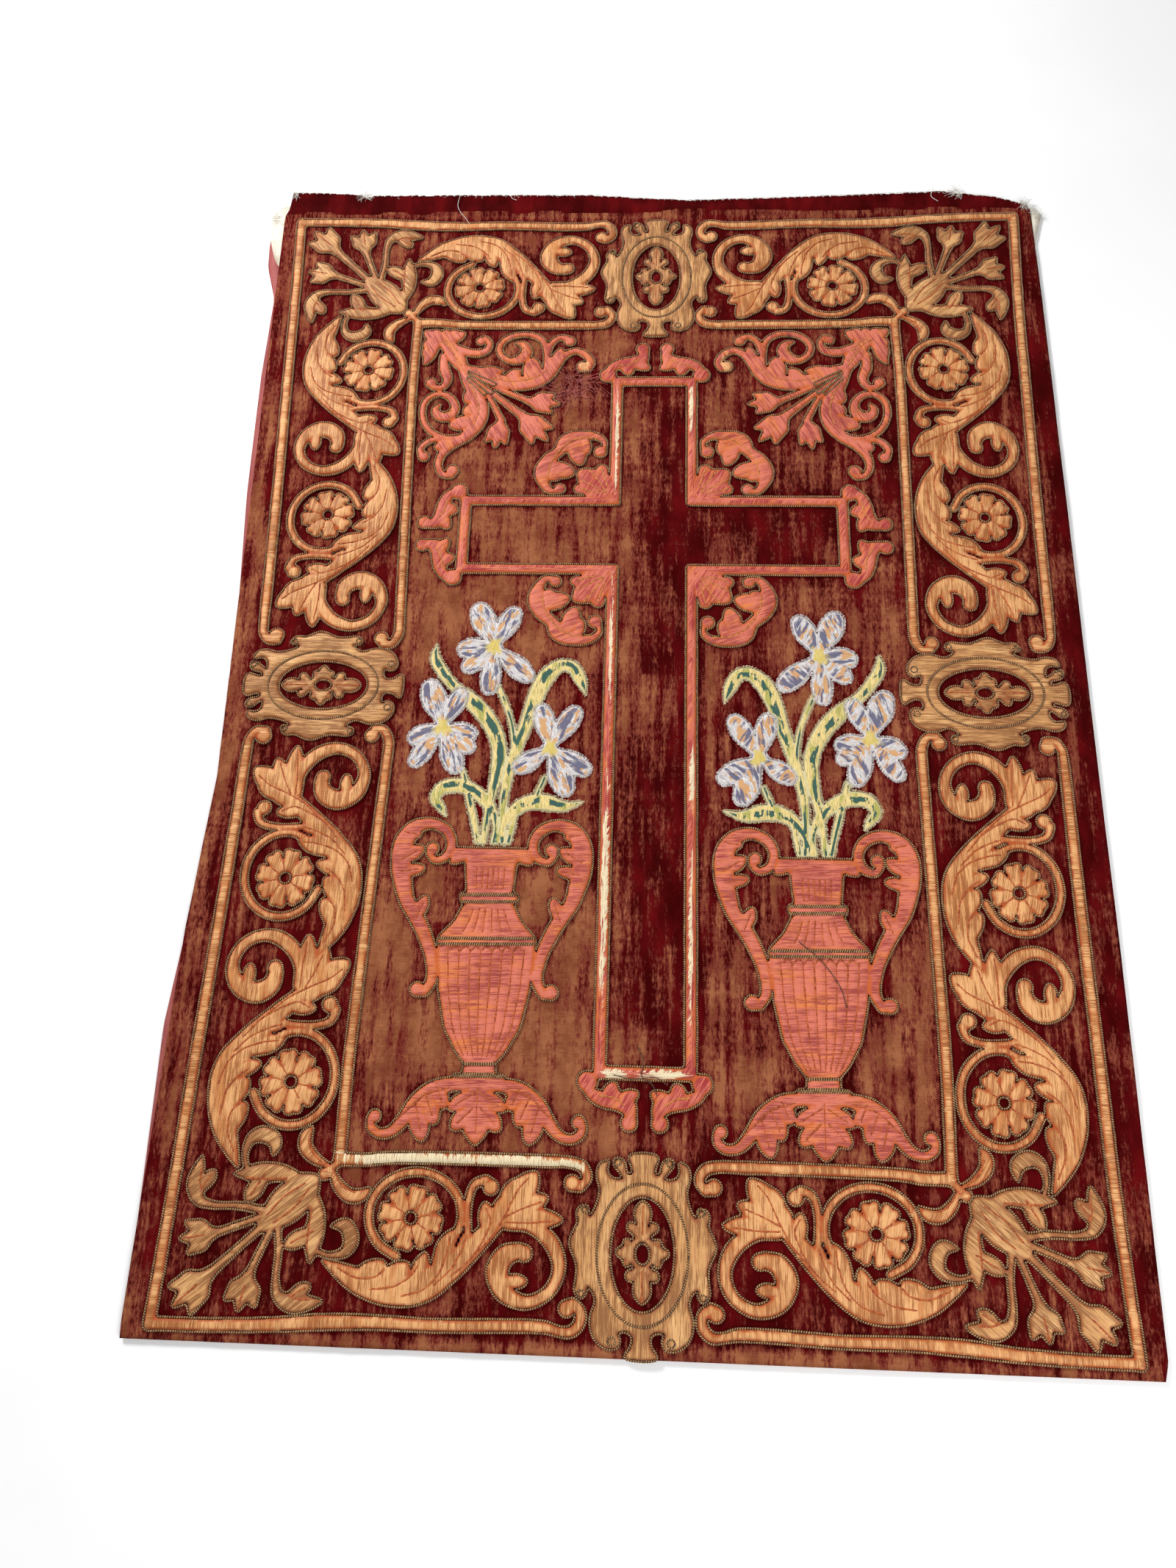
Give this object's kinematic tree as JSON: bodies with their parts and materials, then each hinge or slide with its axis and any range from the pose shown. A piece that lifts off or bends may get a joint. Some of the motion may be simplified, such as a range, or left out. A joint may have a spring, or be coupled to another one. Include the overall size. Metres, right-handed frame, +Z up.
{
  "type": "altar frontal",
  "caption": "Upright red velvet altar frontal with padded silk applique: scroll border, outlined cross and urns of irises, lying face up.",
  "frame": {"origin": "middle of the cloth, on the surface that it lies on", "axes": "+Y to the top edge of the cloth, +X to its right side, +Z up out of its face"},
  "size_m": [1.189, 1.642, 0.0089],
  "materials": {
    "velvet": "silk velvet, pile worn to its brown ground in streaks",
    "lining": "plain rose silk",
    "interlining": "coarse unbleached linen",
    "gold_silk": "floss silk laid in satin stitch, soft sheen",
    "old_gold": "worn floss silk, streaky",
    "pink_silk": "salmon silk, soft sheen",
    "iris_white": "white, ochre and blue grey silk stitches",
    "leaf_green": "yellow green silk with dark green strokes"
  },
  "bodies": {
    "root": {"cartouche_bottom": "old_gold", "cartouche_left": "old_gold", "cartouche_right": "old_gold", "cartouche_top": "old_gold", "corner_bouquet_bottom_left": "old_gold", "corner_bouquet_bottom_right": "old_gold", "corner_bouquet_top_left": "old_gold", "corner_bouquet_top_right": "old_gold", "cross": "pink_silk", "cross_scroll_lower_left": "pink_silk", "cross_scroll_lower_right": "pink_silk", "cross_scroll_upper_left": "pink_silk", "cross_scroll_upper_right": "pink_silk", "inner_bar_bottom_left": "gold_silk", "inner_bar_bottom_right": "gold_silk", "inner_bar_top_left": "gold_silk", "inner_bar_top_right": "gold_silk", "interlining": "interlining", "iris_inner_left": "iris_white", "iris_inner_right": "iris_white", "iris_outer_left": "iris_white", "iris_outer_right": "iris_white", "iris_upper_left": "iris_white", "iris_upper_right": "iris_white", "leaves_left": "leaf_green", "leaves_right": "leaf_green", "lining": "lining", "outer_bar_bottom_left": "gold_silk", "outer_bar_bottom_right": "gold_silk", "outer_bar_top_left": "gold_silk", "outer_bar_top_right": "gold_silk", "rosette_along_bottom_left": "gold_silk", "rosette_along_bottom_right": "gold_silk", "rosette_along_top_left": "gold_silk", "rosette_along_top_right": "gold_silk", "rosette_lower_bottom_left": "gold_silk", "rosette_lower_bottom_right": "gold_silk", "rosette_lower_top_left": "gold_silk", "rosette_lower_top_right": "gold_silk", "rosette_upper_bottom_left": "gold_silk", "rosette_upper_bottom_right": "gold_silk", "rosette_upper_top_left": "gold_silk", "rosette_upper_top_right": "gold_silk", "scroll_along_bottom_left": "gold_silk", "scroll_along_bottom_right": "gold_silk", "scroll_along_top_left": "gold_silk", "scroll_along_top_right": "gold_silk", "scroll_side_bottom_left": "gold_silk", "scroll_side_bottom_right": "gold_silk", "scroll_side_top_left": "gold_silk", "scroll_side_top_right": "gold_silk", "spray_left": "pink_silk", "spray_right": "pink_silk", "urn_left": "pink_silk", "urn_right": "pink_silk", "velvet_ground": "velvet"}
  },
  "joints": []
}
